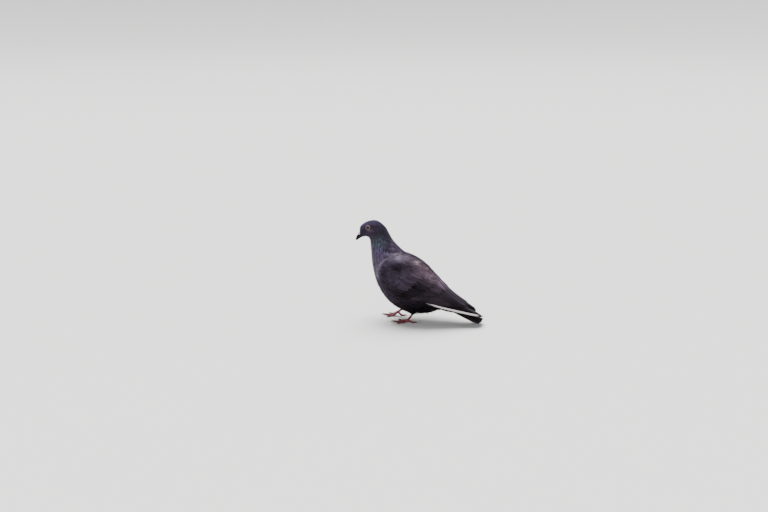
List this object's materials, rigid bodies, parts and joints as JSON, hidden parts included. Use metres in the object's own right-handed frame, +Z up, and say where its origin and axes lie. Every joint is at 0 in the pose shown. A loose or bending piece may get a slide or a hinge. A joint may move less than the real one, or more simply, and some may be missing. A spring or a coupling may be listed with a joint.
{
  "type": "pigeon",
  "caption": "Standing pigeon, a life-size still model with folded wings, closed tail, bent head and one foot a step ahead.",
  "frame": {"origin": "on the floor, at the centre of the model's bounding box", "axes": "+Z up, +X towards the tail, the bill points to -X, +Y to the bird's right side"},
  "size_m": [0.2572, 0.1056, 0.2024],
  "materials": {
    "plumage": "slate grey body feathers, matt with a soft sheen",
    "neck_plumage": "dark grey feathers with a green and purple gloss",
    "wing_plumage": "sooty brown-grey flight feathers and coverts with a white lower edge",
    "tail_plumage": "blackish tail feathers, matt",
    "bill_horn": "blackish horn, half gloss",
    "cere_skin": "whitish, powdery bare skin",
    "eye": "orange iris with a black pupil under a clear gloss",
    "leg_skin": "dull red scaled skin",
    "claw_horn": "dark horn"
  },
  "bodies": {
    "root": {"left_eye": "eye", "right_eye": "eye", "head": "plumage", "lower_bill": "bill_horn", "cere": "cere_skin", "upper_bill": "bill_horn", "neck": "neck_plumage", "torso": "plumage", "left_wing": "wing_plumage", "right_wing": "wing_plumage", "tail": "tail_plumage", "left_outer_claw": "claw_horn", "left_middle_claw": "claw_horn", "left_inner_claw": "claw_horn", "left_hind_claw": "claw_horn", "left_foot": "leg_skin", "left_thigh": "plumage", "left_shank": "leg_skin", "right_outer_claw": "claw_horn", "right_middle_claw": "claw_horn", "right_inner_claw": "claw_horn", "right_hind_claw": "claw_horn", "right_foot": "leg_skin", "right_thigh": "plumage", "right_shank": "leg_skin"}
  },
  "joints": []
}
